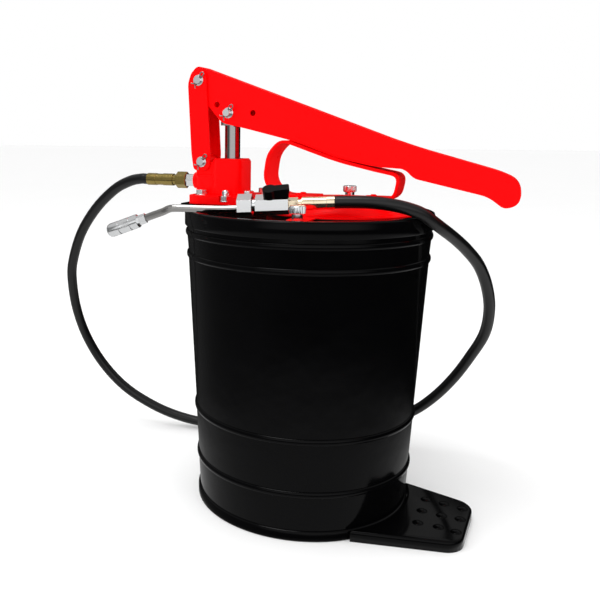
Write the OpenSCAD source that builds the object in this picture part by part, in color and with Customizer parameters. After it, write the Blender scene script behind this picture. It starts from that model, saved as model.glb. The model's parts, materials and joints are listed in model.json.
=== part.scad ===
// Hand-operated bucket grease pump: steel pail with foot plate, lever pump head,
// high-pressure hose, shut-off valve and grease coupler.
// Origin: middle of the pail on the floor. +Z up, +X towards the lever's grip.

/* [Pail] */
// Height of the rolled rim's top
pail_h = 334.3; // [330:0.1:338]
// Outer radius of the wall below the rim
pail_r_top = 136; // [135.5:0.5:137]
// Outer radius of the wall at the foot
pail_r_foot = 120; // [116:0.5:121]
// Thickness of the pail's sheet steel
sheet = 1.6; // [1.2:0.1:1.8]

/* [Foot plate] */
// Height of the foot plate's top
foot_h = 12; // [10:0.5:14]
// How far the foot plate is turned from the lever's line, in degrees
foot_turn = -9; // [-12:1:-6]

/* [Pump] */
// Distance from the pail's middle to the pump rod
pump_x = -92; // [-93:0.5:-91]
// Radius of the chrome plunger rod
rod_r = 9; // [8.5:0.1:9]
// Height of the head's top
head_top = 391; // [390:0.5:392]
// Depth of the pump barrel's lower end above the floor
barrel_z = 30; // [26:1:40]

/* [Linkage] */
// Height of the link's lower pin
link_pin_z = 387; // [386:0.5:388]
// Height of the fulcrum pin
fulcrum_z = 480; // [479:0.5:481]
// Height of the rod pin
rod_pin_z = 443; // [442:0.5:444]
// Radius of the three clevis pins
pin_r = 4; // [3.5:0.1:4.2]

/* [Lever] */
// Outside width of the lever's channel
lever_w = 26.8; // [26:0.1:27]
// Wall of the lever's pressed steel
lever_t = 2.5; // [2:0.1:3]

/* [Hose] */
// Outside diameter of the hose
hose_d = 13; // [12:0.5:13]

/* [Hidden] */
$fn = 64;

// running clearance of a pin or shaft in its hole
fit = 0.05;
gap = 0.1;

// pail wall: the height and how far each rolled bead stands out
rim_roll_r = 4;
rim_z = pail_h - rim_roll_r;
bead_z = [311, 286, 109.6, 51.6];
bead_out = 1.8;
bead_half = 3.2;
r_below_a = 135.8;
r_below_b = 134.2;
bottom_z = 8;
chime_r = 122.5;

// lid levels
lid_flat_z = 332;
lid_r = 127;
lid_edge_top = pail_h + 1.5;
lid_edge_r = rim_edge() + 1.6;
pad_top = 336.6;
plate_top = 340;
function rim_edge() = pail_r_top + 1.2;

// filler opening, its cover and the cover's screws
cover_x = 38;
cover_r = 82;
dome_r = 58;
dome_top = 349;
shoulder_r = 70;
gasket_t = 1.5;
cover_t = 1.5;
cover_z = lid_flat_z + gasket_t;
opening_r = 67;
screw_x = 22;
screw_y = 112;
ear_r = 11;
screw_r = 4;
// the rear screw stands partly unscrewed
rear_screw_up = 7;

// pump head
flange_top = 349.5;
block_x0 = -110;
block_x1 = -74.5;
block_half = 23;
outlet_z = 364.4;
outlet_x = -139;
bolt_spots = [[-119.5, -27], [-119.5, 27], [-63, 29], [-62, -25]];
bolt_r = 3.5;
stud_spot = [-87, -33];
seal_bottom = 370;
gland_bottom = 380;
gland_r = 13;

// linkage
link_pin_x = -124;
fulcrum_x = -128;
link_in = 14;
link_t = 3;
link_end_r = 11;
lug_half = 13.5;
lug_r = 8;
washer_t = 1.6;
pin_half = 21.8;
cotter_y = -20.2;
cotter_r = 1.1;

// barrel and piston
barrel_r = 25;
barrel_bore = 20.5;
piston_z = 110;
piston_h = 16;
con_rod_r = 5;
plunger_bottom = 250;

// valve group: axis from the hose end of its ferrule towards the spout
group_start = [50, -75, 350.8];
group_turn = 190.5;
group_drop = 3.4;
valve_len = 34.2;
ferrule_len = 33;
nut_len = 13.5;
valve_start = ferrule_len + nut_len;
swivel_start = valve_start + valve_len + 3.9;
swivel_len = 15;
spout_r = 4;
spout_low = -3.2;
hub_at = 65;
valve_flats = 19;
stem_base = valve_flats / 2 + 0.4;
swivel_flats = 21;

// coupler: where the spout tube ends and which way it points
spout_bend = [-117, -107, 340.6];
coupler_turn = 190;
coupler_tip = 20.5;
coupler_start = coupler_way(spout_bend, 35);

// route of the hose, from the pump's outlet to the valve
hose_route = [[-203, 0, 364.4], [-207, 0, 364.4], [-213, 0, 364.4], [-230, 2, 361],
    [-257, 9, 349], [-291, 19, 323], [-323, 31, 287],
    [-346, 44, 245], [-354, 53, 215], [-357, 67, 172], [-350, 81, 128], [-330, 92, 87], [-299, 101, 53],
    [-258, 109, 29], [-216, 117, 14.5], [-170, 126, 8], [-112, 139, 7.5], [-54, 152, 8.5], [5, 165, 14],
    [60, 171, 29], [101, 170, 52], [129, 164, 78], [154, 150, 112], [174, 133, 148], [190, 111, 184],
    [195, 88, 219], [192, 65, 250], [184, 41, 277], [172.5, 16, 297], [161, -9, 312.5], [150, -32, 325],
    [141.5, -43.5, 333.2], [132.6, -51.5, 340.6], [122, -57.8, 345.2], [110, -63, 348.5], [96, -66.6, 350.6],
    [80, -69.6, 351.6], [57.85, -73.54, 351.27], [53.93, -74.27, 351.04], [50, -75, 350.8]];

// colours
red = [0.95, 0.03, 0.04];
black_paint = [0.03, 0.03, 0.035];
black_rubber = [0.05, 0.05, 0.055];
zinc = [0.78, 0.79, 0.8];
chrome = [0.62, 0.62, 0.64];
brass = [0.68, 0.56, 0.3];
steel = [0.55, 0.56, 0.58];

// ---------- shapes used more than once ----------

function unit(v) = v / norm(v);

// a corner of an outline, rounded by r, as a short curve
function soft_corner(a, b, c, r, n = 6) =
    let (start = b + unit(a - b) * r, finish = b + unit(c - b) * r)
    [for (i = [0 : n]) let (t = i / n) start * (1 - t) * (1 - t) + b * 2 * t * (1 - t) + finish * t * t];

// an outline from its corner points, each [x, y, rounding]
function soft_outline(p, n = 6) =
    [for (i = [0 : len(p) - 1])
        let (a = p[(i + len(p) - 1) % len(p)], b = p[i], c = p[(i + 1) % len(p)])
        each soft_corner([a.x, a.y], [b.x, b.y], [c.x, c.y], b.z, n)];

function box_outline(x0, x1, y, r) = soft_outline([[x0, -y, r], [x1, -y, r], [x1, y, r], [x0, y, r]]);

// the direction of travel along a route at point i
function along(p, i) = unit(p[min(i + 1, len(p) - 1)] - p[max(i - 1, 0)]);

// a smooth curve through the route's points, with a number of steps between each two
function curve_point(a, b, c, d, t) =
    0.5 * (2 * b + (c - a) * t + (2 * a - 5 * b + 4 * c - d) * t * t + (3 * b - a - 3 * c + d) * t * t * t);
function smooth_route(p, steps) =
    [for (i = [0 : len(p) - 2]) for (s = [0 : steps - 1])
        curve_point(p[max(i - 1, 0)], p[i], p[i + 1], p[min(i + 2, len(p) - 1)], s / steps),
     p[len(p) - 1]];

// a tube of radius r swept along points p, as one polyhedron with flat ends
module swept_tube(p, r, sides, side = [0, 1, 0]) {
    last = len(p) - 1;
    rings = [for (i = [0 : last])
        let (t = along(p, i), u = unit(side - t * (side * t)), v = cross(t, u))
        for (k = [0 : sides - 1]) p[i] + r * (u * cos(360 * k / sides) + v * sin(360 * k / sides))];
    walls = [for (i = [0 : last - 1]) for (k = [0 : sides - 1])
        let (a = i * sides + k, b = i * sides + (k + 1) % sides)
        each [[a, b, b + sides], [a, b + sides, a + sides]]];
    first_end = [for (k = [sides - 1 : -1 : 0]) k];
    last_end = [for (k = [0 : sides - 1]) last * sides + k];
    polyhedron(points = rings, faces = [for (f = concat(walls, [first_end, last_end]))
        [f[2], f[1], f[0], for (j = [len(f) - 1 : -1 : 3]) f[j]]]);
}

// a hexagon bar along +Z, measured across its flats
module hex(flats, h) {
    cylinder(r = flats / sqrt(3), h = h, $fn = 6);
}

// a pin or hole along Y, centred on the lever's plane
module cross_pin(x, z, r, half) {
    translate([x, half, z]) rotate([90, 0, 0]) cylinder(r = r, h = 2 * half);
}

// a plate standing in the lever's plane, from its outline in X and Z
module upright(outline, y0, y1) {
    translate([0, y1, 0]) rotate([90, 0, 0]) linear_extrude(y1 - y0) polygon(outline);
}

module ring(r_out, r_in, z0, z1) {
    translate([0, 0, z0]) difference() {
        cylinder(r = r_out, h = z1 - z0);
        translate([0, 0, -1]) cylinder(r = r_in, h = z1 - z0 + 2);
    }
}

// places children along +Z of the valve group's axis, at a distance from the ferrule's end
module on_group(at) {
    translate(group_start) rotate([0, group_drop, group_turn]) translate([at, 0, 0]) children();
}

module on_group_bar(at) {
    on_group(at) rotate([0, 90, 0]) children();
}

// +Z along the valve's stem, which stands square on the body's upper front flat
module on_stem() {
    on_group(hub_at) rotate([-30, 0, 0]) children();
}

module on_coupler(at) {
    translate(coupler_start) rotate([0, coupler_tip, coupler_turn]) translate([at, 0, 0])
        rotate([0, 90, 0]) children();
}

// ---------- pail ----------

// one rolled bead of the wall, as outline points that stand out from radius r
function bead(z, r, flip = 1) =
    [for (a = [-90 : 30 : 90]) [r + bead_out * cos(a), z + bead_half * sin(a)]];

function wall_outline() = concat(
    [[chime_r, 0], [chime_r, 5.5], [pail_r_foot + 0.2, 8]],
    bead(bead_z[3], wall_r(bead_z[3])),
    bead(bead_z[2], wall_r(bead_z[2])),
    bead(bead_z[1], r_below_b + 0.6),
    bead(bead_z[0], r_below_a + 0.4),
    [[pail_r_top, bead_z[0] + 6], [pail_r_top, rim_z]]);
function wall_r(z) = pail_r_foot + (r_below_b - pail_r_foot) * (z - bottom_z) / (bead_z[1] - bottom_z);

module pail_shell() {
    outer = wall_outline();
    inner = [for (i = [len(outer) - 1 : -1 : 0])
        [outer[i].x - sheet - (i == 0 || i == 1 ? 1.6 : 0), outer[i].y]];
    color(black_paint) union() {
        rotate_extrude($fn = 96) polygon(concat(outer, inner));
        rotate_extrude($fn = 96) translate([pail_r_top + 1.2 - rim_roll_r, rim_z])
            circle(r = rim_roll_r, $fn = 24);
    }
}

module pail_bottom() {
    r = pail_r_foot - sheet - 1.4;
    color(black_paint) translate([0, 0, bottom_z]) difference() {
        cylinder(r = r, h = 5);
        translate([0, 0, sheet]) cylinder(r = r - sheet, h = 5);
    }
}

// ---------- foot plate ----------

foot_corners = [[95, 62, 0.1], [189, 48, 18], [199, -44, 18], [95, -82, 0.1]];
foot_inner = [[95, 59.5, 0.1], [187, 45.7, 16], [196.5, -41.8, 16], [95, -79.3, 0.1]];
foot_studs = [[141, 29], [161, 30], [181, 30], [145, 1], [166, 2], [185, 5],
    [149, -27], [170, -24], [188, -24]];
stud_r = 9;
stud_up = 2.2;

module foot_plate() {
    color(black_paint) rotate([0, 0, foot_turn]) difference() {
        union() {
            linear_extrude(foot_h) polygon(soft_outline(foot_corners));
            for (s = foot_studs) intersection() {
                translate([s.x, s.y, foot_h + stud_up - stud_r]) sphere(r = stud_r, $fn = 32);
                translate([s.x - 10, s.y - 10, foot_h - 1]) cube(20);
            }
        }
        translate([0, 0, -1]) linear_extrude(foot_h - 1.2) polygon(soft_outline(foot_inner));
        translate([0, 0, -1]) cylinder(r = chime_r + fit, h = 40, $fn = 96);
    }
}

// ---------- lid, filler cover and carrying handle ----------

module lid() {
    edge = [[0, lid_flat_z - sheet], [lid_r + sheet, lid_flat_z - sheet], [lid_r + sheet, pail_h + gap],
        [rim_edge() + gap, pail_h + gap], [rim_edge() + gap, rim_z - 1], [lid_edge_r, rim_z - 1],
        [lid_edge_r, lid_edge_top - 1.4], [lid_edge_r - 1.4, lid_edge_top], [lid_r + 0.8, lid_edge_top],
        [lid_r, lid_edge_top - 0.8], [lid_r, lid_flat_z], [0, lid_flat_z]];
    color(black_paint) difference() {
        union() {
            rotate_extrude($fn = 96) polygon(edge);
            intersection() {
                translate([0, 0, lid_flat_z - sheet])
                    linear_extrude(pad_top - lid_flat_z + sheet) polygon(box_outline(-135, -50, 40, 10));
                cylinder(r = lid_r + 0.5, h = 400);
            }
        }
        translate([pump_x, 0, 300]) cylinder(r = barrel_r + fit, h = 60);
        translate([cover_x, 0, 300]) cylinder(r = opening_r, h = 60, $fn = 96);
        for (s = bolt_spots) translate([s.x, s.y, 300]) cylinder(r = bolt_r + fit, h = 60);
        translate([stud_spot.x, stud_spot.y, 300]) cylinder(r = bolt_r + fit, h = 60);
        for (y = [-screw_y, screw_y]) translate([screw_x, y, 300]) cylinder(r = screw_r + fit, h = 60);
    }
}

module pump_plate() {
    color(black_paint) translate([0, 0, pad_top]) difference() {
        linear_extrude(plate_top - pad_top) polygon(box_outline(-141, -47.5, 44, 10));
        translate([pump_x, 0, -1]) cylinder(r = barrel_r + fit, h = 10);
        for (s = bolt_spots) translate([s.x, s.y, -1]) cylinder(r = bolt_r + fit, h = 10);
        translate([stud_spot.x, stud_spot.y, -1]) cylinder(r = bolt_r + fit, h = 10);
    }
}

module filler_gasket() {
    color(black_rubber) translate([cover_x, 0, 0]) ring(80, opening_r + 1, lid_flat_z, cover_z);
}

module filler_cover() {
    shell = [[0, dome_top - cover_t], [dome_r - 2, dome_top - cover_t], [shoulder_r - 3, cover_z + 3],
        [shoulder_r - 1.5, cover_z], [cover_r, cover_z], [cover_r, cover_z + cover_t],
        [shoulder_r, cover_z + cover_t], [shoulder_r - 1.2, cover_z + 3.4],
        [dome_r + 1.5, dome_top - 3], [dome_r - 0.5, dome_top - 0.8], [dome_r - 3, dome_top], [0, dome_top]];
    color(red) difference() {
        union() {
            translate([cover_x, 0, 0]) rotate_extrude($fn = 96) polygon(shell);
            difference() {
                union() {
                    for (s = [-1, 1]) {
                        translate([screw_x, s * screw_y, cover_z]) cylinder(r = ear_r, h = cover_t);
                        translate([screw_x, s * 92, cover_z + cover_t / 2])
                            cube([2 * ear_r, 40, cover_t], center = true);
                    }
                }
                translate([cover_x, 0, cover_z - 1]) cylinder(r = cover_r - 1, h = cover_t + 2, $fn = 96);
            }
        }
        for (y = [-screw_y, screw_y]) translate([screw_x, y, 300]) cylinder(r = screw_r + fit, h = 60);
        for (p = rivet_spots) translate([p.x, p.y, 300]) cylinder(r = 2.5 + fit, h = 60);
    }
}

// the strap's middle line, seen from the side: foot, leg, top under the lever, leg, foot
strap_t = 3;
strap_half = 22;
strap_corners = [[12, 350.5], [-30, 350.5, 10], [-45, 366, 10], [-41, 396, 10], [-26, 411.5, 9], [38, 389.2, 18],
    [84, 378.6, 10], [104, 374.8, 9], [100, 355.5, 5], [93.5, 350.5, 3], [62, 350.5]];
rivet_spots = [[-8, -9], [-8, 9], [72, -9], [72, 9]];

function strap_line() = concat([strap_corners[0]],
    [for (i = [1 : len(strap_corners) - 2])
        let (a = strap_corners[i - 1], b = strap_corners[i], c = strap_corners[i + 1])
        each soft_corner([a.x, a.y], [b.x, b.y], [c.x, c.y], b.z, 5)],
    [strap_corners[len(strap_corners) - 1]]);
function beside(p, i, d) = let (t = along(p, i)) p[i] + d * [-t.y, t.x];

module strap_handle() {
    p = strap_line();
    side_a = [for (i = [0 : len(p) - 1]) beside(p, i, strap_t / 2)];
    side_b = [for (i = [len(p) - 1 : -1 : 0]) beside(p, i, -strap_t / 2)];
    color(red) difference() {
        upright(concat(side_a, side_b), -strap_half, strap_half);
        for (s = rivet_spots) translate([s.x, s.y, 345]) cylinder(r = 2.5 + fit, h = 12);
    }
}

module handle_rivets() {
    color(red) for (s = rivet_spots) translate([s.x, s.y, 0]) {
        translate([0, 0, dome_top - cover_t]) cylinder(r = 2.5, h = cover_t + strap_t);
        translate([0, 0, dome_top + strap_t]) cylinder(r1 = 4.5, r2 = 2.6, h = 2);
        translate([0, 0, dome_top - cover_t - 1.5]) cylinder(r = 4.2, h = 1.5);
    }
}

module cover_nuts() {
    color(zinc) for (y = [-screw_y, screw_y]) translate([screw_x, y, lid_flat_z - sheet - 6.5]) difference() {
        hex(13, 6.5);
        translate([0, 0, -1]) cylinder(r = screw_r + fit, h = 9);
    }
}

module knurled_screw(y, raised) {
    neck_r = 5.8;
    head_r = 8.3;
    neck_top = 341.3;
    head_h = 8;
    grooves = 24;
    color(zinc) translate([screw_x, y, raised]) difference() {
        union() {
            translate([0, 0, 319]) cylinder(r = screw_r, h = 20);
            translate([0, 0, cover_z + cover_t]) cylinder(r = neck_r, h = neck_top - cover_z - cover_t);
            translate([0, 0, neck_top]) cylinder(r1 = head_r - 1, r2 = head_r, h = 1);
            translate([0, 0, neck_top + 1]) cylinder(r = head_r, h = head_h - 2);
            translate([0, 0, neck_top + head_h - 1]) cylinder(r1 = head_r, r2 = head_r - 1, h = 1);
        }
        for (a = [0 : 360 / grooves : 359]) rotate([0, 0, a]) translate([head_r + 0.1, 0, neck_top - 1])
            rotate([0, 0, 45]) translate([-0.6, -0.6, 0]) cube([1.2, 1.2, head_h + 2]);
    }
}

// ---------- pump ----------

module pump_head() {
    color(red) difference() {
        union() {
            translate([0, 0, plate_top]) linear_extrude(flange_top - plate_top) polygon(box_outline(-134, -50, 40, 16));
            translate([0, 0, flange_top - 1]) linear_extrude(head_top - flange_top - 2)
                polygon(box_outline(block_x0, block_x1, block_half, 10));
            translate([0, 0, head_top - 3.4]) linear_extrude(2)
                polygon(box_outline(block_x0 + 0.6, block_x1 - 0.6, block_half - 0.6, 9.6));
            translate([0, 0, head_top - 1.5]) linear_extrude(1.5)
                polygon(box_outline(block_x0 + 1.8, block_x1 - 1.8, block_half - 1.8, 9));
            translate([0, 0, flange_top - 1]) linear_extrude(372 - flange_top)
                polygon(box_outline(-131, -100, 20, 7));
            upright([[-132, flange_top - 1], [-110, flange_top - 1], [-110, link_pin_z], [-132, link_pin_z]],
                -lug_half, lug_half);
            cross_pin(link_pin_x, link_pin_z, lug_r, lug_half);
            translate([outlet_x, 0, outlet_z]) rotate([0, 90, 0]) cylinder(r = 9.5, h = 30);
        }
        translate([pump_x, 0, 330]) cylinder(r = rod_r + fit, h = 80);
        translate([pump_x, 0, seal_bottom]) cylinder(r = gland_r + fit, h = 40);
        translate([pump_x, 0, plate_top - 1]) cylinder(r = barrel_bore + 1.4 + fit, h = 9);
        translate([outlet_x - 1, 0, outlet_z]) rotate([0, 90, 0]) cylinder(r = 3, h = 40);
        translate([outlet_x - 1, 0, outlet_z]) rotate([0, 90, 0]) cylinder(r = 6, h = 20);
        cross_pin(link_pin_x, link_pin_z, pin_r + fit, 30);
        for (s = bolt_spots) translate([s.x, s.y, 330]) cylinder(r = bolt_r + fit, h = 30);
        for (s = bolt_spots) translate([s.x, s.y, flange_top]) cylinder(r = 8, h = 10);
        translate([stud_spot.x, stud_spot.y, 330]) cylinder(r = bolt_r + fit, h = 20);
        translate([stud_spot.x, stud_spot.y, 343]) cylinder(r = 8.6, h = 20);
    }
}

module head_bolts() {
    color(zinc) for (s = bolt_spots) translate([s.x, s.y, 0]) {
        translate([0, 0, flange_top - 24]) cylinder(r = bolt_r, h = 24.5);
        translate([0, 0, flange_top]) cylinder(r = 7.4, h = 1.2);
        translate([0, 0, flange_top + 1.2]) hex(11, 5);
        translate([0, 0, lid_flat_z - sheet - 5]) hex(10, 5);
    }
}

module head_stud_nut() {
    color(zinc) translate([stud_spot.x, stud_spot.y, 0]) {
        translate([0, 0, 325]) cylinder(r = bolt_r, h = 19);
        translate([0, 0, 343]) cylinder(r = 7.4, h = 1.2);
        translate([0, 0, 344.2]) hex(11, 5.5);
        translate([0, 0, 349.7]) cylinder(r = 4.4, h = 3);
        translate([0, 0, 352.7]) sphere(r = 4.4, $fn = 32);
        translate([0, 0, lid_flat_z - sheet - 5]) hex(10, 5);
    }
}

module rod_seal() {
    color(black_rubber) translate([pump_x, 0, 0]) ring(gland_r, rod_r + fit, seal_bottom, gland_bottom);
}

module gland_nut() {
    color(steel) translate([pump_x, 0, 0]) difference() {
        ring(gland_r, rod_r + fit, gland_bottom, head_top - 0.6);
        for (a = [0 : 90 : 270]) rotate([0, 0, a]) translate([11, 0, head_top - 4]) cylinder(r = 1.2, h = 8);
    }
}

module pump_barrel() {
    color(steel) translate([pump_x, 0, 0]) {
        ring(barrel_r, barrel_bore, barrel_z, plate_top);
        ring(barrel_bore + 1.4, barrel_bore, plate_top - 1, plate_top + 7.5);
    }
}

module foot_valve() {
    color(steel) translate([pump_x, 0, 0]) difference() {
        union() {
            translate([0, 0, barrel_z - 10]) cylinder(r = barrel_r, h = 10);
            translate([0, 0, barrel_z - 1]) cylinder(r = barrel_bore - fit, h = 13);
        }
        translate([0, 0, barrel_z - 11]) cylinder(r = 7, h = 40);
        translate([0, 0, barrel_z - 6]) for (a = [0, 90]) rotate([0, 90, a])
            cylinder(r = 3, h = 60, center = true);
    }
}

module foot_valve_ball() {
    ball_r = 8;
    color(chrome) translate([pump_x, 0, barrel_z + 12 + sqrt(ball_r * ball_r - 49) + fit]) sphere(r = ball_r);
}

// the rod's eye has a long hole, so that the lever's pin can swing in it
module plunger_rod() {
    slot_half = 2.4;
    hole_r = pin_r + 1.1;
    color(chrome) difference() {
        union() {
            translate([pump_x, 0, plunger_bottom]) cylinder(r = rod_r, h = 430 - plunger_bottom);
            translate([pump_x, 0, 429]) linear_extrude(30) polygon([for (c = box_outline(-12, 12, 9, 3)) c]);
        }
        for (s = [-1, 1]) cross_pin(pump_x + s * slot_half, rod_pin_z, hole_r, 20);
        translate([pump_x - slot_half, -20, rod_pin_z - hole_r]) cube([2 * slot_half, 40, 2 * hole_r]);
        translate([pump_x, 0, plunger_bottom - 1]) cylinder(r = con_rod_r + fit, h = 21);
    }
}

module connecting_rod() {
    color(steel) translate([pump_x, 0, piston_z - 8]) cylinder(r = con_rod_r, h = plunger_bottom + 18 - piston_z + 8);
}

module pump_piston() {
    color(steel) translate([pump_x, 0, piston_z]) difference() {
        cylinder(r = barrel_bore - gap, h = piston_h);
        translate([0, 0, -1]) cylinder(r = con_rod_r + fit, h = piston_h + 2);
        for (a = [0 : 60 : 300]) rotate([0, 0, a]) translate([12.5, 0, -1]) cylinder(r = 2.5, h = piston_h + 2);
    }
}

module piston_cup() {
    color(black_rubber) translate([pump_x, 0, 0])
        ring(barrel_bore - gap, con_rod_r + 1.5, piston_z + piston_h, piston_z + piston_h + 4);
}

module piston_nut() {
    color(zinc) translate([pump_x, 0, piston_z - 6]) difference() {
        hex(17, 6);
        translate([0, 0, -1]) cylinder(r = con_rod_r + fit, h = 9);
    }
}

// ---------- outlet ----------

module along_outlet(x) {
    translate([x, 0, outlet_z]) rotate([0, 90, 0]) children();
}

module discharge_ball() {
    ball_r = 4.5;
    color(chrome) along_outlet(outlet_x + 19 - sqrt(ball_r * ball_r - 9) - fit) sphere(r = ball_r);
}

module discharge_spring() {
    coils = 5;
    steps = 12;
    coil_r = 3.6;
    wire = 0.5;
    spring_start = outlet_x + 2.2;
    spring_len = 8;
    color(steel) swept_tube([for (i = [0 : coils * steps]) let (a = 360 * i / steps)
        [spring_start + spring_len * i / (coils * steps), coil_r * cos(a), outlet_z + coil_r * sin(a)]],
        wire, 6, [1, 0, 0]);
}

module outlet_adapter() {
    color(zinc) difference() {
        union() {
            along_outlet(outlet_x - 10.6) rotate([0, 0, 30]) hex(14, 10.6);
            along_outlet(outlet_x - 1) cylinder(r = 6 - fit, h = 2.6);
            along_outlet(outlet_x - 15) cylinder(r = 5, h = 6);
        }
        along_outlet(outlet_x - 20) cylinder(r = 2.5, h = 40);
    }
}

module outlet_swivel_nut() {
    color(brass) difference() {
        union() {
            along_outlet(outlet_x - 24) hex(17.5, 13);
            along_outlet(outlet_x - 29) cylinder(r = 6.2, h = 6);
        }
        along_outlet(outlet_x - 17) cylinder(r = 5 + fit, h = 20);
        along_outlet(outlet_x - 40) cylinder(r = 2.5, h = 40);
    }
}

module outlet_ferrule() {
    color(brass) difference() {
        union() {
            along_outlet(-203) cylinder(r = 7.3, h = 12);
            along_outlet(-191.5) cylinder(r = 6.9, h = 10);
            along_outlet(-182) cylinder(r = 7.3, h = 14);
        }
        along_outlet(-190) cylinder(r = 2.5, h = 30);
    }
}

// ---------- linkage ----------

module link() {
    top = fulcrum_z + 12;
    side = soft_outline([[-134, link_pin_z - link_end_r + 1, 5], [-115, link_pin_z - link_end_r + 1, 8],
        [-113.5, 395, 6], [-118.5, 478, 6], [-119, top, 9], [-136, top, 6], [-141.5, fulcrum_z - 3, 5],
        [-137, 396, 5]]);
    back = [[-136.9, 399], [-133.9, 399], [-138, 462], [-141, 462]];
    color(red) difference() {
        union() {
            upright(side, link_in, link_in + link_t);
            upright(side, -link_in - link_t, -link_in);
            upright(back, -link_in - 1, link_in + 1);
        }
        cross_pin(link_pin_x, link_pin_z, pin_r + fit, 40);
        cross_pin(fulcrum_x, fulcrum_z, pin_r + fit, 40);
    }
}

module clevis_pin(x, z) {
    color(zinc) difference() {
        union() {
            cross_pin(x, z, pin_r, pin_half);
            translate([x, pin_half + 2.5, z]) rotate([90, 0, 0]) cylinder(r = pin_r + 2, h = 3);
        }
        translate([x, cotter_y, z]) rotate([0, 40, 0]) cylinder(r = cotter_r + fit, h = 30, center = true);
    }
}

module pin_washers(x, z, inside) {
    color(zinc) for (y = [-inside - washer_t, inside]) translate([x, y + washer_t, z]) rotate([90, 0, 0])
        difference() {
            cylinder(r = 6.2, h = washer_t);
            translate([0, 0, -1]) cylinder(r = pin_r + fit, h = washer_t + 2);
        }
}

// a split pin: its leg through the clevis pin and its round eye outside
module cotter(x, z) {
    eye_r = 2.2;
    color(steel) translate([x, cotter_y, z]) rotate([0, 40, 0]) {
        translate([0, 0, -9]) cylinder(r = cotter_r, h = 16.5);
        translate([0, 0, 7.5 + eye_r]) rotate([90, 0, 0]) rotate_extrude($fn = 24)
            translate([eye_r, 0]) circle(r = 0.9, $fn = 16);
    }
}

module link_pin() {
    clevis_pin(link_pin_x, link_pin_z);
}

module link_pin_washers() {
    pin_washers(link_pin_x, link_pin_z, link_in + link_t);
}

module link_pin_cotter() {
    cotter(link_pin_x, link_pin_z);
}

module fulcrum_pin() {
    clevis_pin(fulcrum_x, fulcrum_z);
}

module fulcrum_washers() {
    pin_washers(fulcrum_x, fulcrum_z, link_in + link_t);
}

module fulcrum_cotter() {
    cotter(fulcrum_x, fulcrum_z);
}

module rod_pin() {
    clevis_pin(pump_x, rod_pin_z);
}

module rod_pin_washers() {
    pin_washers(pump_x, rod_pin_z, lever_w / 2);
}

module rod_pin_cotter() {
    cotter(pump_x, rod_pin_z);
}

// ---------- lever ----------

// side view: along the top to the rounded end, and back along the open underside
lever_top = [[-139, 489, 6], [-131, 497, 5], [-7, 451.5, 30], [109, 408.5, 30], [200, 383, 8], [221, 374, 12]];
lever_under = [[223, 349, 11], [207, 345, 5], [192, 356.5, 8], [117.5, 373.3, 5], [110, 381, 4],
    [104.5, 383.2, 1.5], [78.5, 384.6, 15], [35.3, 393.5, 15], [-12, 411, 15], [-78, 427, 15],
    [-100, 431.5, 6], [-118, 452, 8], [-141, 474, 5]];
// the hollow of the channel, open below
hollow = [[-150, 478], [-131, 494.3], [-8, 448.8], [108, 405.9], [200, 380.2], [215, 374], [219, 366],
    [219, 330], [120, 340], [60, 360], [-100, 400], [-160, 440]];

module lever() {
    half = lever_w / 2;
    color(red) difference() {
        upright(soft_outline(concat(lever_top, lever_under), 8), -half, half);
        upright(hollow, -half + lever_t, half - lever_t);
        cross_pin(fulcrum_x, fulcrum_z, pin_r + fit, 40);
        cross_pin(pump_x, rod_pin_z, pin_r + fit, 40);
        cross_pin(-106.5, 452.5, 3.4, 40);
        cross_pin(-62.5, 442.5, 3.4, 40);
    }
}

// ---------- hose and valve ----------

module hose() {
    color(black_rubber) swept_tube(smooth_route(hose_route, 2), hose_d / 2, 10);
}

module valve_ferrule() {
    color(brass) difference() {
        union() {
            on_group_bar(0) cylinder(r = 7.2, h = 8);
            on_group_bar(7.5) cylinder(r = 6.9, h = 14);
            on_group_bar(21) cylinder(r = 7.2, h = ferrule_len - 21);
        }
        on_group_bar(8) cylinder(r = 2.5, h = 40);
    }
}

module valve_swivel_nut() {
    color(brass) difference() {
        union() {
            on_group_bar(ferrule_len) cylinder(r = 4.9, h = 5);
            on_group_bar(ferrule_len + 4) hex(11.5, nut_len - 4);
        }
        on_group_bar(ferrule_len - 1) cylinder(r = 2.5, h = 40);
    }
}

module valve_body() {
    color(zinc) difference() {
        union() {
            on_group_bar(valve_start) hex(valve_flats, valve_len);
            on_group_bar(valve_start + valve_len - 1) cylinder(r = 6.6, h = 4.5);
        }
        on_group_bar(valve_start + valve_len - 0.5) cylinder(r = 4 + fit, h = 8);
        on_group_bar(valve_start - 1) cylinder(r = 2.5, h = 60);
        on_stem() translate([0, 0, -5.5]) cylinder(r = 4.4 + fit, h = 30);
    }
}

// the plug that opens and shuts the valve, with its cross hole
module valve_plug() {
    color(brass) on_stem() difference() {
        translate([0, 0, -5]) cylinder(r = 4.4, h = stem_base + 5);
        rotate([0, 90, 0]) cylinder(r = 2.4, h = 20, center = true);
    }
}

module valve_handle() {
    wing = soft_outline([[2, stem_base, 0.3], [-19.6, stem_base, 2], [-19.8, 21.4, 2], [2, 19.6, 1]]);
    color(black_rubber) on_stem() {
        translate([0, 0, stem_base]) cylinder(r = 7.2, h = 10);
        translate([0, 5, 0]) rotate([90, 0, 0]) linear_extrude(10) polygon(wing);
    }
}

module spout_swivel() {
    color(zinc) difference() {
        union() {
            on_group_bar(swivel_start) hex(swivel_flats, swivel_len);
            on_group_bar(swivel_start - 4) cylinder(r = 4, h = 6);
        }
        on_group_bar(swivel_start - 6) cylinder(r = 2.5, h = 13);
        on_group_bar(swivel_start + 6) translate([-spout_low, 0, 0]) cylinder(r = spout_r + fit, h = 20);
    }
}

function group_point(d, up) =
    let (c = cos(group_drop), s = sin(group_drop), x = d * c + up * s, z = -d * s + up * c)
    group_start + [x * cos(group_turn), x * sin(group_turn), z];

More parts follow.
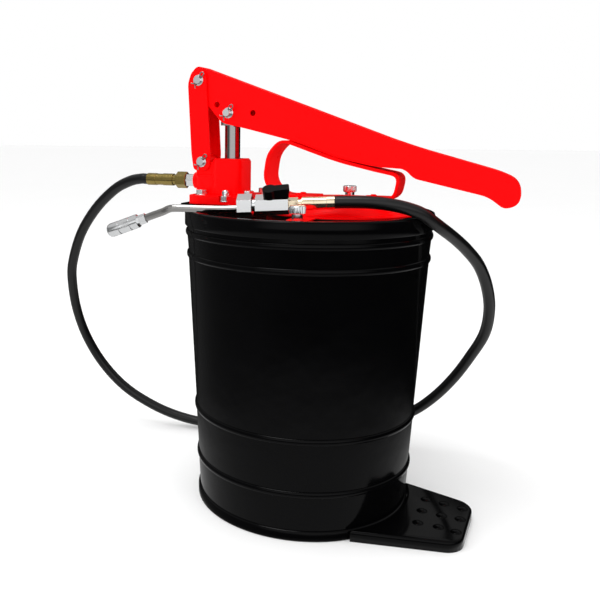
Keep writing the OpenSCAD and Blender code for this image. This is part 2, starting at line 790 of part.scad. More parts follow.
module spout_tube() {
    a = group_point(swivel_start + 6.2, spout_low);
    b = group_point(swivel_start + 30, spout_low);
    color(chrome) swept_tube(concat([a, b], smooth_route([b + (spout_bend - b) * 0.55, spout_bend,
        coupler_way(spout_bend, 12), coupler_way(spout_bend, 24)], 4), [coupler_way(coupler_start, 5)]),
        spout_r, 12);
}

module coupler_nut() {
    color(zinc) difference() {
        on_coupler(-3) hex(9.6, 9);
        on_coupler(-4) cylinder(r = spout_r + 0.4, h = 9.6);
        on_coupler(-4) cylinder(r = 2, h = 20);
    }
}

module coupler_body() {
    color(zinc) difference() {
        union() {
            on_coupler(6) cylinder(r1 = 5.5, r2 = 7.6, h = 4);
            on_coupler(10) cylinder(r = 7.6, h = 25);
            on_coupler(35) cylinder(r1 = 7.6, r2 = 6.6, h = 6);
        }
        on_coupler(5) cylinder(r = 2, h = 20);
        on_coupler(12) cylinder(r = 5.2, h = 40);
        for (a = [0 : 45 : 315]) on_coupler(14) rotate([0, 0, a]) translate([7.9, 0, 0]) cylinder(r = 0.8, h = 18);
    }
}

module coupler_jaws() {
    color(steel) difference() {
        on_coupler(31) cylinder(r = 5.1, h = 11.5);
        on_coupler(30) cylinder(r = 3.2, h = 20);
        for (a = [0, 60, 120]) on_coupler(34) rotate([0, 0, a]) translate([-10, -0.4, 0]) cube([20, 0.8, 20]);
    }
}

module coupler_seal() {
    color(black_rubber) difference() {
        on_coupler(27.5) cylinder(r = 5.1, h = 3.4);
        on_coupler(26) cylinder(r = 1.5, h = 20);
    }
}

module coupler_spring() {
    coils = 6;
    steps = 12;
    start = coupler_way(coupler_start, 12.8);
    finish = coupler_way(coupler_start, 26.8);
    t = unit(finish - start);
    u = unit(cross(t, [0, 0, 1]));
    v = cross(t, u);
    color(steel) swept_tube([for (i = [0 : coils * steps]) let (a = 360 * i / steps)
        start + (finish - start) * i / (coils * steps) + 4.2 * (u * cos(a) + v * sin(a))], 0.5, 6, t);
}

function coupler_way(p, d) =
    p + d * [cos(coupler_tip) * cos(coupler_turn), cos(coupler_tip) * sin(coupler_turn), -sin(coupler_tip)];

pail_shell();
pail_bottom();
foot_plate();
lid();
pump_plate();
filler_gasket();
filler_cover();
strap_handle();
handle_rivets();
cover_nuts();
knurled_screw(-screw_y, 0);  // front_knurled_screw
knurled_screw(screw_y, rear_screw_up);  // rear_knurled_screw
pump_head();
head_bolts();
head_stud_nut();
rod_seal();
gland_nut();
pump_barrel();
foot_valve();
foot_valve_ball();
plunger_rod();
connecting_rod();
pump_piston();
piston_cup();
piston_nut();
discharge_ball();
discharge_spring();
outlet_adapter();
outlet_swivel_nut();
outlet_ferrule();
link();
link_pin();
link_pin_washers();
link_pin_cotter();
fulcrum_pin();
fulcrum_washers();
fulcrum_cotter();
lever();
rod_pin();
rod_pin_washers();
rod_pin_cotter();
hose();
valve_ferrule();
valve_swivel_nut();
valve_body();
valve_plug();
valve_handle();
spout_swivel();
spout_tube();
coupler_nut();
coupler_body();
coupler_jaws();
coupler_spring();
coupler_seal();
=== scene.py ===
# %% [markdown]
# # A bucket grease pump, piece by piece
# A steel pail of grease carries a hand pump on its lid. The lever is worked up and down, the pump
# pushes grease through a hose, and a coupler at its end snaps onto a grease fitting. The drawing
# gives every piece's place. Here each one gets the shape and finish that a close look shows.
# Lengths in this file are in millimetres until a piece is made, because the drawing is too.

# %% Load the frame
import json
import math
import bmesh
import bpy
from mathutils import Euler, Matrix, Vector


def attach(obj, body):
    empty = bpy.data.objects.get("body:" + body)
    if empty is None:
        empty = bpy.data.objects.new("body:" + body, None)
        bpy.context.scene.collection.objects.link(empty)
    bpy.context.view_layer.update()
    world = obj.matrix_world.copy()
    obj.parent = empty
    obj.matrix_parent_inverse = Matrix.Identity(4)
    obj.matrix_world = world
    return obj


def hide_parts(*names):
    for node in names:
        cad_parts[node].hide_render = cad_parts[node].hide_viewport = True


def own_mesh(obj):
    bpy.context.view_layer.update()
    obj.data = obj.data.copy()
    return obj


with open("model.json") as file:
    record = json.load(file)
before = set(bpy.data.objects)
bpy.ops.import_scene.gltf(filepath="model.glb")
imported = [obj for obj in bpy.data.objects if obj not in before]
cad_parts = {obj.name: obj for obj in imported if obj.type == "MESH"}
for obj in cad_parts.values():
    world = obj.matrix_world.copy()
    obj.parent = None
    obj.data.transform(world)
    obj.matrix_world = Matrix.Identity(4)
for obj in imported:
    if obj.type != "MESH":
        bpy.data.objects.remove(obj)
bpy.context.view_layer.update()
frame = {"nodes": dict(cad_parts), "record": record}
mm = 0.001
body_of_node = {node: body for body, nodes in frame["record"]["behaviour"]["bodies"].items()
                for node in nodes}
slot_of_node = {part["node"]: part["material_slot"] for part in frame["record"]["subparts"]}

# %% [markdown]
# ## The camera
# It stands a little above the lid, as a person would look at the pump from a few steps away. The
# lens is mild, so the rim's ellipse stays flat. A small shift keeps the lens level while the pump
# sits in the middle of the picture.

# %% Camera
view = bpy.data.cameras.new("view")
view.lens = 44.8
view.sensor_width = 36
view.shift_x = 0.15
view.shift_y = -0.083
camera = bpy.data.objects.new("camera", view)
bpy.context.collection.objects.link(camera)
stands_at = Matrix.Translation((0.2343, -0.8171, 0.4149))
tilt, swing, roll = math.radians(81.43), math.radians(23.45), 0.0042
looks = Euler((tilt, 0, swing)).to_matrix() @ Matrix.Rotation(roll, 3, "Z")
camera.matrix_world = stands_at @ looks.to_4x4()
bpy.context.scene.camera = camera

# %% [markdown]
# ## Shader maths in plain expressions
# Every finish below mixes a few patterns. Wrapping a socket in a small class lets a pattern be
# written as arithmetic, and each operator adds the Math node that does it. All other nodes come
# from one method of the tree they stand in, so a paint and the sky are built in the same way.

# %% A socket that understands arithmetic
class Signal:
    def __init__(self, tree, socket):
        self.tree = tree
        self.socket = socket

    def maths(self, operation, a, b):
        return self.tree.node("ShaderNodeMath", {"operation": operation}, {0: a, 1: b})

    def __add__(self, other):
        return self.maths("ADD", self, other)

    def __radd__(self, other):
        return self.maths("ADD", other, self)

    def __mul__(self, other):
        return self.maths("MULTIPLY", self, other)

    def __rmul__(self, other):
        return self.maths("MULTIPLY", other, self)


# %% A tree of nodes, for a finish or for the sky
class Tree:
    def __init__(self, owner):
        owner.use_nodes = True
        self.nodes = owner.node_tree.nodes
        self.links = owner.node_tree.links

    def node(self, kind, settings=None, values=None, output=0):
        """Adds a node, sets it up, then gives its sockets their values or links."""
        made = self.nodes.new(kind)
        for key, value in (settings or {}).items():
            setattr(made, key, value)
        for key, value in (values or {}).items():
            if isinstance(value, Signal):
                self.links.new(value.socket, made.inputs[key])
            else:
                made.inputs[key].default_value = value
        return Signal(self, made.outputs[output])


# %% A finish: one material, built node by node
class Finish(Tree):
    def __init__(self, name, **fixed):
        self.material = bpy.data.materials.new(name)
        super().__init__(self.material)
        self.surface = self.nodes["Principled BSDF"]
        for socket, value in fixed.items():
            self.surface.inputs[socket.replace("_", " ")].default_value = value

    def place(self, stretch=(1, 1, 1)):
        here = self.node("ShaderNodeTexCoord", output="Object")
        return self.node("ShaderNodeMapping", values={"Vector": here, "Scale": stretch})

    def noise(self, scale, detail=3, stretch=(1, 1, 1)):
        where = self.place(stretch)
        return self.node("ShaderNodeTexNoise", values={"Vector": where, "Scale": scale, "Detail": detail})

    def blend(self, amount, low, high):
        """Two colours mixed by a pattern. 6, 7 and 2 are the Mix node's colour sockets."""
        sockets = {0: amount, 6: (*low, 1), 7: (*high, 1)}
        return self.node("ShaderNodeMix", {"data_type": "RGBA"}, sockets, output=2)

    def set(self, socket, signal):
        self.links.new(signal.socket, self.surface.inputs[socket])

    def bump(self, height, distance):
        self.set("Normal", self.node("ShaderNodeBump", values={"Height": height, "Distance": distance}))


# %% [markdown]
# ## The paints
# The pump is powder-coated red: a thick, smooth skin with a faint orange peel. The pail is stove
# enamelled black over thin sheet, so its reflections are sharp and waver a little, as sheet does.

# %% Red and black paint
def red_paint():
    f = Finish("red powder coat", Specular_IOR_Level=0.05)
    cloud = f.noise(14)
    f.set("Base Color", f.blend(cloud, (0.9, 0.0004, 0.0012), (0.97, 0.0008, 0.002)))
    f.set("Roughness", 0.22 + 0.16 * f.noise(60))
    f.bump(f.noise(900, 2), 0.00006)
    return f.material


def black_enamel(name="black enamel", peel=0.00002):
    f = Finish(name, Specular_IOR_Level=0.09)
    smear = f.noise(22, 5)
    f.set("Base Color", f.blend(smear, (0.0006, 0.0006, 0.0007), (0.0014, 0.0014, 0.0016)))
    f.set("Roughness", 0.07 + 0.1 * smear)
    f.bump(f.noise(26, 2) + 0.05 * f.noise(700, 2), peel)
    return f.material


red = red_paint()
black = black_enamel()
pail_black = black_enamel("black enamel on sheet", 0.0004)

# %% [markdown]
# ## The metals
# Pins, bolts and couplings are zinc plated, the rod is hard chrome, and the hose's fittings are
# plated in an olive yellow at the pump and a warmer brass at the valve. Each has its own fine
# mottling, which shows in the roughness more than in the colour.

# %% Metals
def metal(name, low, high, rough, spread, grain, stretch=(1, 1, 1), bump=0.00002):
    f = Finish(name, Metallic=1.0)
    mottle = f.noise(grain, 4, stretch)
    f.set("Base Color", f.blend(mottle, low, high))
    f.set("Roughness", (rough - spread / 2) + spread * mottle)
    f.bump(f.noise(grain * 3, 2, stretch), bump)
    return f.material


zinc = metal("bright zinc plate", (0.78, 0.79, 0.8), (0.92, 0.93, 0.94), 0.2, 0.1, 90, bump=0.000004)
chrome = metal("hard chrome", (0.3, 0.295, 0.285), (0.4, 0.39, 0.38), 0.1, 0.08, 200, (1, 1, 8), 0.000004)
steel = metal("turned steel", (0.36, 0.37, 0.38), (0.5, 0.51, 0.52), 0.36, 0.2, 150, (1, 1, 14))
olive_brass = metal("olive passivated brass", (0.26, 0.19, 0.05), (0.46, 0.35, 0.12), 0.24, 0.14, 90,
                    bump=0.000006)
warm_brass = metal("warm brass", (0.86, 0.68, 0.44), (0.98, 0.88, 0.68), 0.18, 0.1, 110, bump=0.000006)

# %% [markdown]
# ## Rubber and moulded plastic
# The hose is smooth extruded rubber with a soft sheen and a very fine grain. The seals inside the
# pump are duller. The valve's handle is dipped in glossy black plastic.

# %% Rubber and plastic
def rubber(name, rough, fine, shine=0.4):
    f = Finish(name, Specular_IOR_Level=shine)
    dust = f.noise(40, 4)
    f.set("Base Color", f.blend(dust, (0.0014, 0.0014, 0.0016), (0.003, 0.003, 0.0033)))
    f.set("Roughness", rough + 0.12 * dust)
    f.bump(f.noise(fine, 2), 0.00004)
    return f.material


hose_rubber = rubber("hose cover", 0.28, 1600)
seal_rubber = rubber("seal rubber", 0.45, 900)
dipped_plastic = rubber("dipped plastic", 0.08, 400, 0.1)

# %% [markdown]
# ## Making a piece
# A shape is drawn as a bmesh in millimetres. This helper scales it, gives it its finish, rounds
# its sharp edges and hands it to the body that it moves with. Real edges are never knife sharp,
# and it is the thin highlight along a rounded edge that makes metal look like metal.

# %% Piece helper
def make_piece(name, shape, finish, *nodes, edge=0.0, segments=2, angle=32):
    bmesh.ops.remove_doubles(shape, verts=shape.verts, dist=0.002)
    bmesh.ops.scale(shape, vec=(mm, mm, mm), verts=shape.verts)
    mesh = bpy.data.meshes.new(name)
    shape.to_mesh(mesh)
    shape.free()
    mesh.materials.append(finish)
    mesh.shade_smooth()
    mesh.set_sharp_from_angle(angle=math.radians(angle))
    piece = bpy.data.objects.new(name, mesh)
    bpy.context.collection.objects.link(piece)
    if edge:
        bevel = piece.modifiers.new("rounded edges", "BEVEL")
        bevel.width = edge * mm
        bevel.segments = segments
        bevel.limit_method = "ANGLE"
        bevel.angle_limit = math.radians(angle)
        bevel.harden_normals = True
    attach(piece, body_of_node[nodes[0]])
    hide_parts(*nodes)
    print("made", name, "with", len(mesh.polygons), "faces")
    return piece


# %% Shapes: turned, cut from plate, and joined
def turned(outline, steps=64, closed=True, place=None):
    """A shape turned about Z from an outline of (radius, height) points."""
    shape = bmesh.new()
    verts = [shape.verts.new((r, 0, z)) for r, z in outline]
    edges = [shape.edges.new(pair) for pair in zip(verts, verts[1:])]
    if closed:
        edges.append(shape.edges.new((verts[-1], verts[0])))
    bmesh.ops.spin(shape, geom=verts + edges, cent=(0, 0, 0), axis=(0, 0, 1), angle=math.tau,
                   steps=steps, use_merge=True)
    bmesh.ops.remove_doubles(shape, verts=shape.verts, dist=0.01)
    bmesh.ops.recalc_face_normals(shape, faces=shape.faces)
    if place is not None:
        bmesh.ops.transform(shape, matrix=place, verts=shape.verts)
    return shape


def join(*shapes):
    whole = shapes[0]
    for other in shapes[1:]:
        carrier = bpy.data.meshes.new("carrier")
        other.to_mesh(carrier)
        other.free()
        whole.from_mesh(carrier)
        bpy.data.meshes.remove(carrier)
    return whole


def plate(corners, bottom, top, place=None):
    """A flat plate from corners (x, y, rounding)."""
    shape = bmesh.new()
    verts = [shape.verts.new((x, y, bottom)) for x, y, r in corners]
    face = shape.faces.new(verts)
    for vert, (x, y, r) in zip(verts, corners):
        if r:
            bmesh.ops.bevel(shape, geom=[vert], offset=r, offset_type="OFFSET", segments=6, profile=0.5,
                            affect="VERTICES", material=-1)
    raised = bmesh.ops.extrude_face_region(shape, geom=list(shape.faces))
    moved = [g for g in raised["geom"] if isinstance(g, bmesh.types.BMVert)]
    bmesh.ops.translate(shape, vec=(0, 0, top - bottom), verts=moved)
    bmesh.ops.recalc_face_normals(shape, faces=shape.faces)
    if place is not None:
        bmesh.ops.transform(shape, matrix=place, verts=shape.verts)
    return shape


def rod_along(points, radius, sides=12):
    """A round rod bent along the points, closed at both ends."""
    turns = [math.tau * i / sides for i in range(sides)]
    shape = bmesh.new()
    rings = []
    across = Vector((0, 1, 0))
    for before, here, after in zip([points[0], *points], points, [*points[1:], points[-1]]):
        ahead = (Vector(after) - Vector(before)).normalized()
        across = (across - ahead * across.dot(ahead)).normalized()
        up = ahead.cross(across)
        rings.append([shape.verts.new(Vector(here) + radius * (across * math.cos(a) + up * math.sin(a)))
                      for a in turns])
    for one, two in zip(rings, rings[1:]):
        for i in range(sides):
            shape.faces.new((one[i], one[(i + 1) % sides], two[(i + 1) % sides], two[i]))
    shape.faces.new(rings[0])
    shape.faces.new(rings[-1])
    bmesh.ops.recalc_face_normals(shape, faces=shape.faces)
    return shape


def softened(node, finish, edge=0.5, segments=2, angle=32, reshape=None):
    """A piece as drawn, with its flat faces whole again and its edges rounded."""
    shape = bmesh.new()
    shape.from_mesh(frame["nodes"][node].data)
    bmesh.ops.scale(shape, vec=(1000, 1000, 1000), verts=shape.verts)
    bmesh.ops.remove_doubles(shape, verts=shape.verts, dist=0.003)
    bmesh.ops.dissolve_limit(shape, angle_limit=math.radians(1.0), verts=shape.verts, edges=shape.edges)
    if reshape:
        reshape(shape)
    return make_piece(node + "_finished", shape, finish, node, edge=edge, segments=segments, angle=angle)


# %% [markdown]
# ## The hose
# A high-pressure hose, 13 mm outside and stiff. It leaves the pump's side, drops to the floor in
# one wide bend, passes behind the pail and climbs over the rim to the valve. One spline through
# the listed points, smoothed the same way as the drawing, keeps it a single easy curve.

# %% Hose
hose_radius = 6.5
hose_points = [
    (-203, 0, 364.4), (-207, 0, 364.4), (-213, 0, 364.4), (-230, 2, 361), (-257, 9, 349),
    (-291, 19, 323), (-323, 31, 287), (-346, 44, 245), (-354, 53, 215), (-357, 67, 172),
    (-350, 81, 128), (-330, 92, 87), (-299, 101, 53),
    (-258, 109, 29), (-216, 117, 14.5), (-170, 126, 8), (-112, 139, 7.5), (-54, 152, 8.5), (5, 165, 14),
    (60, 171, 29), (101, 170, 52), (129, 164, 78), (154, 150, 112), (174, 133, 148), (190, 111, 184),
    (195, 88, 219), (192, 65, 250), (184, 41, 277), (172.5, 16, 297), (161, -9, 312.5), (150, -32, 325),
    (141.5, -43.5, 333.2), (132.6, -51.5, 340.6), (122, -57.8, 345.2), (110, -63, 348.5),
    (96, -66.6, 350.6), (80, -69.6, 351.6), (57.85, -73.54, 351.27),
    (53.93, -74.27, 351.04), (50, -75, 350.8)]


def easy_curve(points, steps):
    """Points on a smooth curve through all the given ones."""
    p = [Vector(q) * mm for q in points]
    p = [p[0], *p, p[-1]]
    smooth = []
    for a, b, c, d in zip(p, p[1:], p[2:], p[3:]):
        for i in range(steps):
            t = i / steps
            smooth.append(0.5 * (2 * b + (c - a) * t + (2 * a - 5 * b + 4 * c - d) * t ** 2
                                 + (3 * b - a - 3 * c + d) * t ** 3))
    return smooth + [p[-1]]


line = easy_curve(hose_points, 6)
hose_length = sum((b - a).length for a, b in zip(line, line[1:]))
curve = bpy.data.curves.new("hose_line", "CURVE")
curve.dimensions = "3D"
curve.bevel_depth = hose_radius * mm
curve.bevel_resolution = 7
curve.use_fill_caps = True
spline = curve.splines.new("POLY")
spline.points.add(len(line) - 1)
for spot, point in zip(spline.points, line):
    spot.co = (*point, 1)
spline.use_smooth = True
curve.materials.append(hose_rubber)
hose = bpy.data.objects.new("hose_finished", curve)
bpy.context.collection.objects.link(hose)
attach(hose, "pail")
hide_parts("hose")
print("hose length", round(hose_length, 3), "m")

# %% [markdown]
# ## The pail
# The body is drawn from thin sheet: a tapered wall with rolled beads that stiffen it, a roll at
# the rim for the lid, and a ring at the foot. A profile turned about the middle gives all of it at
# once, so each bead is a small arc in the profile.

# %% Pail wall
foot_height, foot_radius = 8, 120
wall_height, wall_widening = 278, 14.2
sheet = 1.6


def bead(height, radius, out=1.9, half=3.4, steps=8):
    """One rolled bead: how high, how far from the middle, how far out, and half its height."""
    turn_by = math.pi / steps
    return [(radius + out * math.sin(i * turn_by) ** 0.8, height - half * math.cos(i * turn_by))
            for i in range(steps + 1)]


def wall_radius(height):
    return foot_radius + wall_widening * (height - foot_height) / wall_height


wall = [(121.4, 0), (122.4, 0.8), (122.4, 9.5), (121.9, 10.6), (120.3, 11.2)]
wall += bead(51.6, wall_radius(51.6)) + bead(109.6, wall_radius(109.6))
wall += bead(286, 134.5) + bead(311, 136.0)
wall += [(136, 318), (136, 326)]
roll_radius, roll_out, roll_up = 4, 133.2, 330.3
roll_turns = [math.radians(-35 + 20 * i) for i in range(13)]
rolled = [(roll_out + roll_radius * math.cos(a), roll_up + roll_radius * math.sin(a)) for a in roll_turns]
inside = [(132, 325), (134.4, 317), (132, 280), (wall_radius(100) - sheet, 100), (118.4, foot_height),
          (118.4, 1), (119.4, 0)]
make_piece("pail_wall", turned(wall + rolled + inside, 160), pail_black, "pail_shell", angle=50)

# %% [markdown]
# ## The lid
# A shallow pressing sits in the rim, and its edge is folded over the roll and hangs down outside
# it as a skirt. It is turned from a profile too. A raised pad, cut from plate, carries the pump.
# The plate under the pump and the pail's bottom keep their drawn shapes, with softer edges.

# %% Lid
lid_profile = [(0, 330.4), (126, 330.4), (128.4, 331), (129.2, 334.2), (137.2, 334.5), (137.3, 319.3),
               (138.2, 318.6), (138.8, 319.4), (138.8, 333.6), (138.2, 335.1), (137, 335.8), (129, 335.8),
               (127.8, 335.2), (127, 332.6), (126, 332), (0, 332)]
lid_shape = turned(lid_profile, 160, closed=False)
pad = plate([(-118, -40, 10), (-50, -40, 8), (-50, 40, 8), (-118, 40, 10)], 331, 336.6)
make_piece("lid_finished", join(lid_shape, pad), black, "lid", angle=40)
softened("pump_plate", black, 0.8)
softened("pail_bottom", black, 0.4)

# %% [markdown]
# ## The foot plate
# Pressed from sheet and welded to the foot of the pail, it is what the user stands on while
# pumping. Its edge is turned down with a soft bend, and small domes are punched up through it to
# give the shoe some grip.

# %% Foot plate
foot_turn = Matrix.Rotation(math.radians(-9), 4, "Z")
beside_ring = 122.6
ring_turns = [math.radians(-38 + 4.5 * i) for i in range(15)]
outline = [(106.5, 60.3, 0), (189, 48, 16), (199, -44, 16), (95, -82, 0), (95, -77.6, 0)]
outline += [(beside_ring * math.cos(a), beside_ring * math.sin(a), 0) for a in ring_turns]
tread_height, dome_rise, dome_radius = 12, 2.2, 9
dome_spots = [(141, 29), (161, 30), (181, 30), (145, 1), (166, 2), (185, 5), (149, -27), (170, -24),
              (188, -24)]

tread = plate(outline, 0, tread_height)
under = [f for f in tread.faces if f.normal.z < -0.9]
bmesh.ops.delete(tread, geom=under, context="FACES_ONLY")
top_edges = [e for e in tread.edges if all(v.co.z > tread_height - 1 for v in e.verts)]
bmesh.ops.bevel(tread, geom=top_edges, offset=3, offset_type="OFFSET", segments=4, profile=0.5,
                affect="EDGES", material=-1)
for x, y in dome_spots:
    dome = bmesh.new()
    bmesh.ops.create_uvsphere(dome, u_segments=28, v_segments=20, radius=dome_radius)
    bmesh.ops.translate(dome, vec=(x, y, tread_height + dome_rise - dome_radius), verts=dome.verts)
    bmesh.ops.bisect_plane(dome, geom=dome.verts[:] + dome.edges[:] + dome.faces[:],
                           plane_co=(0, 0, tread_height - 0.2), plane_no=(0, 0, -1), clear_outer=True)
    tread = join(tread, dome)
bmesh.ops.transform(tread, matrix=foot_turn, verts=tread.verts)
foot = make_piece("foot_plate_finished", tread, black, "foot_plate", angle=40)
skin = foot.modifiers.new("sheet", "SOLIDIFY")
skin.thickness = 2.0 * mm
skin.offset = -1

# %% [markdown]
# ## Cover, handle and pump
# The red parts keep the shapes of the drawing, and only the strap's top is drawn up a little. A
# copy of each one has its flat faces made whole again, and then its edges are rounded as a
# casting's or a pressing's are.

# %% Red parts
def close_under_lever(strap, lift=1.5, start=356, rise=16):
    """Draws the strap's upper part a little closer to the lever's open side."""
    for vert in strap.verts:
        vert.co.z += lift * min(1, max(0, (vert.co.z - start) / rise))


softened("filler_cover", red, 0.5)
softened("strap_handle", red, 0.5, reshape=close_under_lever)
softened("handle_rivets", red, 0.3)
softened("pump_head", red, 1.2, 3)
softened("link", red, 0.6)
softened("lever", red, 1.0, 3)

# %% [markdown]
# ## Pins, fittings and rod
# Pins, bolts, the valve and the spout's fittings are turned or cut from bar, so they have small
# crisp edges. They are softened copies of the drawing too, sorted by the plating they wear.

# %% Plated parts
for node in ("head_bolts", "head_stud_nut", "cover_nuts", "outlet_adapter", "link_pin", "link_pin_washers",
             "fulcrum_pin", "fulcrum_washers", "rod_pin", "rod_pin_washers", "valve_body", "spout_swivel",
             "coupler_nut", "front_knurled_screw", "rear_knurled_screw", "piston_nut"):
    softened(node, zinc, 0.35)
for node in ("outlet_swivel_nut", "outlet_ferrule"):
    softened(node, olive_brass, 0.5)
for node in ("valve_ferrule", "valve_swivel_nut", "valve_plug"):
    softened(node, warm_brass, 0.5)
softened("gland_nut", steel, 0.4)
softened("plunger_rod", chrome, 0.6)
softened("valve_handle", dipped_plastic, 1.2, 3)

# %% [markdown]
# ## Split pins
# One wire makes each split pin: up one leg, around the eye and back down the other leg. Once it is
# through the clevis pin, the two ends are bent apart. Each one leans as it was pushed in.

# %% Split pins
spring_steel = metal("spring steel", (0.2, 0.2, 0.2), (0.45, 0.45, 0.46), 0.3, 0.2, 160)
wire = [(-4.4, 0, -7.6), (-2.4, 0, -6.8), (-0.8, 0, -5.4), (-0.5, 0, -4), (-0.5, 0, 5), (-1.4, 0, 6.2),
        (-2.2, 0, 8), (-1.8, 0, 10.2), (0, 0, 11.4), (1.8, 0, 10.2), (2.2, 0, 8), (1.4, 0, 6.2),
        (0.5, 0, 5), (0.5, 0, -4), (0.8, 0, -5.8), (2.2, 0, -7.6), (3.8, 0, -8.8)]
wire_radius, pin_side, lean = 0.72, -20.2, math.radians(40)
pin_spots = (("link_pin_cotter", -124, 387), ("fulcrum_cotter", -128, 480), ("rod_pin_cotter", -92, 443))
for node, x, z in pin_spots:
    split_pin = rod_along(wire, wire_radius)
    leaning = Matrix.Translation((x, pin_side, z)) @ Matrix.Rotation(lean, 4, "Y")
    bmesh.ops.transform(split_pin, matrix=leaning, verts=split_pin.verts)
    make_piece(node + "_finished", split_pin, spring_steel, node)

# %% [markdown]
# ## Springs and coupler
# The check valve's spring is a wire coil that is squeezed as its ball lifts. The coupler is a
# turned sleeve with a knurled band for the fingers, and it tips down as the spout does.

# %% Outlet spring
coil_start, coil_height, coil_length, coil_radius = -136.8, 364.4, 8, 3.6
coils, spots_a_coil, spring_wire = 5, 12, 0.5
spots = coils * spots_a_coil
coil = [(coil_start + coil_length * i / spots,
         coil_radius * math.cos(math.tau * i / spots_a_coil),
         coil_height + coil_radius * math.sin(math.tau * i / spots_a_coil)) for i in range(spots + 1)]
spring = make_piece("discharge_spring_finished", rod_along(coil, spring_wire, 8), steel, "discharge_spring")
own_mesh(spring)

# %% Coupler sleeve
sleeve_profile = [(4.6, 6), (6.9, 6), (7.5, 6.8), (7.5, 14), (6.9, 14.5), (6.9, 15.3), (7.5, 15.8),
                  (7.5, 27.2), (6.9, 27.7), (6.9, 28.5), (7.5, 29), (7.5, 38.6), (6.7, 41), (5.3, 41),
                  (5.3, 12), (4.6, 12)]
knurl_low, knurl_high, knurl_skin = 15.8, 27.2, 7.4
ridges, ridge_depth = 24, 0.022
sleeve = turned(sleeve_profile, 96)
band = [e for e in sleeve.edges if all(
    knurl_low - 0.1 < v.co.z < knurl_high + 0.1 and v.co.xy.length > knurl_skin for v in e.verts)]
cuts = [e for e in band if abs(e.verts[0].co.z - e.verts[1].co.z) > 1]
bmesh.ops.subdivide_edges(sleeve, edges=cuts, cuts=2, use_grid_fill=True)
for vert in sleeve.verts:
    if knurl_low + 0.2 < vert.co.z < knurl_high - 0.2 and vert.co.xy.length > knurl_skin:
        shrink = 1 - ridge_depth * (1 - math.cos(ridges * math.atan2(vert.co.y, vert.co.x)))
        vert.co.x *= shrink
        vert.co.y *= shrink
dip, aside = math.radians(20.5), math.radians(10)
forward = Vector((-math.cos(dip) * math.cos(aside), -math.cos(dip) * math.sin(aside), -math.sin(dip)))
spout_bend, after_bend = Vector((-117, -107, 340.6)), 35
coupler_start = spout_bend + after_bend * forward
pointing = Matrix.Translation(coupler_start) @ forward.to_track_quat("Z", "Y").to_matrix().to_4x4()
bmesh.ops.transform(sleeve, matrix=pointing, verts=sleeve.verts)
make_piece("coupler_body_finished", sleeve, zinc, "coupler_body")

# %% Finishes on the parts that keep the drawing's mesh
finish_of = {"chrome": chrome, "zinc": zinc, "steel": steel, "brass": warm_brass, "red_paint": red,
             "black_paint": black, "black_rubber": seal_rubber, "black_grip": dipped_plastic}
for name, obj in frame["nodes"].items():
    obj.data.materials.clear()
    obj.data.materials.append(finish_of[slot_of_node[name]])

# %% [markdown]
# ## Floor and light
# A pale, plain floor under a white sky, with soft lamps at the left, above and at the right. The
# floor isn't mirrored in the gloss, because the enamel has to stay black down to the foot.

# %% Floor
bpy.ops.mesh.primitive_plane_add(size=60)
floor = bpy.context.object
floor.name = "floor"
pale = Finish("pale floor", Roughness=0.6, Specular_IOR_Level=0.2)
pale.set("Base Color", pale.blend(pale.noise(2), (0.88, 0.88, 0.88), (0.9, 0.9, 0.9)))
floor.data.materials.append(pale.material)
floor.visible_glossy = False

# %% [markdown]
# ## The sky
# The sky is plain white to the eye and to matt surfaces. Gloss black shows nothing but what it
# reflects, so what a shiny surface sees is drawn apart: a pale ceiling, a white screen behind the
# camera that stops at knee height, a dim wall at the left that rounds off the pail, some glow from
# the floor, and near black elsewhere. So the plating gets its bright faces and dark edges.

# %% Sky
sky = bpy.data.worlds.new("sky")
bpy.context.scene.world = sky
air = Tree(sky)
look = air.node("ShaderNodeTexCoord")  # its first output is the direction seen


def wall_of_light(towards, start, full, strength):
    """How bright the studio is in one direction, as seen by a shiny surface."""
    facing = air.node("ShaderNodeVectorMath", {"operation": "DOT_PRODUCT"}, {0: look, 1: towards}, "Value")
    return air.node("ShaderNodeMapRange", {"interpolation_type": "SMOOTHSTEP"},
                    {"Value": facing, "From Min": start, "From Max": full, "To Max": strength})


def white_light(strength):
    return air.node("ShaderNodeBackground", values={"Color": (1, 1, 1, 1), "Strength": strength})


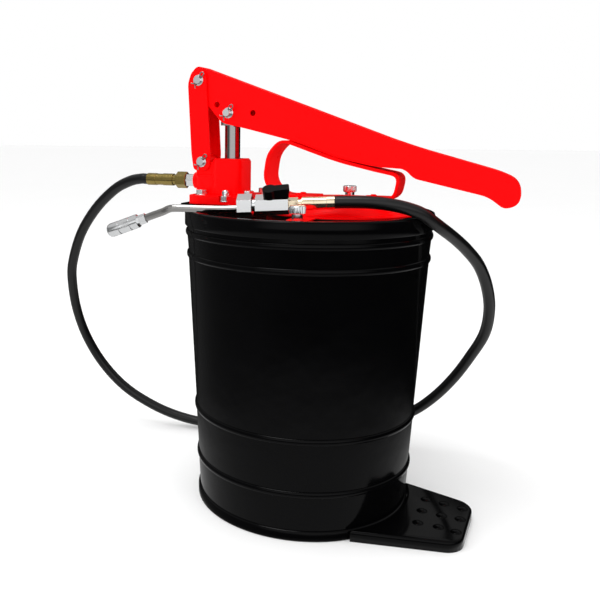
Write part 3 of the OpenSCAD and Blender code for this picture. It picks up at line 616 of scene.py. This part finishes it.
ceiling = wall_of_light((0, 0, 1), 0.25, 0.6, 0.55)
front = wall_of_light((0.398, -0.917, 0), 0.45, 0.9, 1.15)
left = wall_of_light((-0.917, -0.398, 0), 0.1, 0.9, 0.17)
above_knee = wall_of_light((0, 0, 1), -0.19, -0.08, 1)
floor_glow = wall_of_light((0, 0, -1), 0.34, 0.5, 0.75)
darkest = 0.006
studio = ceiling
for part in (front * above_knee, floor_glow, left, darkest):
    studio = studio.maths("MAXIMUM", studio, part)

plain = air.nodes["Background"]
plain.inputs["Color"].default_value = (1, 1, 1, 1)
plain.inputs["Strength"].default_value = 1.2
seen_in_gloss = air.node("ShaderNodeLightPath", output="Is Glossy Ray")
seen_directly = air.node("ShaderNodeLightPath", output="Is Camera Ray")
lit = air.node("ShaderNodeMixShader",
               values={0: seen_in_gloss, 1: Signal(air, plain.outputs[0]), 2: white_light(studio)})
shown = air.node("ShaderNodeMixShader", values={0: seen_directly, 1: lit, 2: white_light(1)})
air.links.new(shown.socket, air.nodes["World Output"].inputs["Surface"])


# %% Lamps
def lamp(name, place, target, width, height, watts, mirrored_too=False):
    light = bpy.data.lights.new(name, "AREA")
    light.shape = "RECTANGLE"
    light.size = width
    light.size_y = height
    light.energy = watts
    holder = bpy.data.objects.new(name, light)
    bpy.context.collection.objects.link(holder)
    holder.location = place
    holder.rotation_euler = (Vector(target) - Vector(place)).to_track_quat("-Z", "Y").to_euler()
    holder.visible_glossy = mirrored_too


lamp("left_softbox", (-1.7, -1.1, 0.8), (0, 0, 0.25), 0.7, 1.8, 14)
lamp("top_softbox", (-0.4, -0.6, 2.2), (0, 0, 0.2), 0.8, 0.8, 12, mirrored_too=True)
lamp("right_fill", (1.9, -1.3, 1.2), (0, 0, 0.25), 0.5, 1.2, 6)
bpy.context.scene.view_settings.view_transform = "Standard"

# %% [markdown]
# ## What hangs on the hose
# The hose's length was measured along its curve above. The fittings and coupler parts that hang on
# it are gathered in one list.

pieces_on_hose = [bpy.data.objects[node + "_finished"] for node in (
    "outlet_ferrule", "valve_ferrule", "valve_swivel_nut", "valve_body", "valve_plug", "valve_handle",
    "spout_swivel", "coupler_nut", "coupler_body")]
pieces_on_hose += [frame["nodes"][node] for node in (
    "spout_tube", "coupler_jaws", "coupler_spring", "coupler_seal")]
